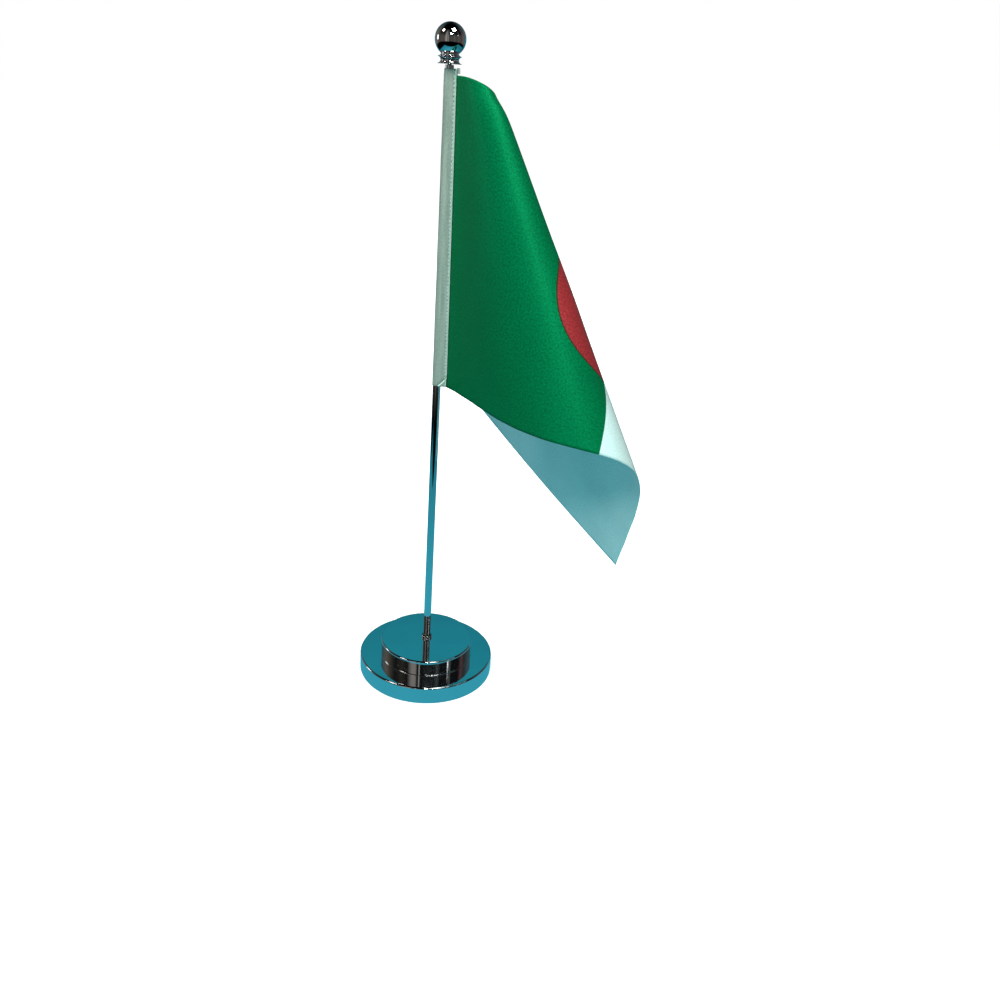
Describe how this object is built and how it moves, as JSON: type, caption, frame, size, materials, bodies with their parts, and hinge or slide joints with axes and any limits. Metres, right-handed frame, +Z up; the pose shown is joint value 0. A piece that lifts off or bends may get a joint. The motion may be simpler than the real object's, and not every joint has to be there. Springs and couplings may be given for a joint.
{
  "type": "desk flag stand",
  "caption": "Table flag on a slim polished pole with a ball finial and a weighted two-tier round base; the satin flag hangs folded and turns on the pole.",
  "frame": {"origin": "centre of the foot pad's underside, on the pole's axis", "axes": "+Z up along the pole; +X towards the side on which the flag hangs; +Y away from the viewer"},
  "size_m": [0.1425, 0.1624, 0.3496],
  "materials": {
    "chrome": "mirror polished plating",
    "cast_iron": "raw casting",
    "steel": "zinc plated",
    "spring_steel": "oiled",
    "foot_pad": "matt foam",
    "header_cloth": "plain white satin",
    "hoist_satin": "dyed satin",
    "fly_satin": "white satin"
  },
  "bodies": {
    "base": {"base_disc": "chrome", "base_drum": "chrome", "disc_ballast": "cast_iron", "drum_ballast": "cast_iron", "cover_plate": "steel", "cover_screw_1": "steel", "cover_screw_2": "steel", "cover_screw_3": "steel", "foot_pad": "foot_pad", "flat_washer": "steel", "spring_washer": "spring_steel", "clamp_nut": "steel", "pole_boss": "chrome"},
    "pole": {"pole_rod": "chrome"},
    "finial": {"finial_ball": "chrome", "finial_upper_collar": "chrome", "finial_lower_collar": "chrome", "finial_stud": "steel"},
    "flag": {"header_sleeve": "header_cloth", "header_tab": "header_cloth", "hoist_half": "hoist_satin", "fly_half": "fly_satin"}
  },
  "joints": [
    {"name": "pole_turn", "type": "hinge", "parent": "base", "child": "pole", "pos_m": [0, 0, 0.0201], "axis": [0, 0, 1], "continuous": true},
    {"name": "finial_turn", "type": "hinge", "parent": "pole", "child": "finial", "pos_m": [0, 0, 0.3319], "axis": [0, 0, 1], "continuous": true},
    {"name": "flag_turn", "type": "hinge", "parent": "pole", "child": "flag", "pos_m": [0, 0, 0.1774], "axis": [0, 0, 1], "continuous": true}
  ]
}
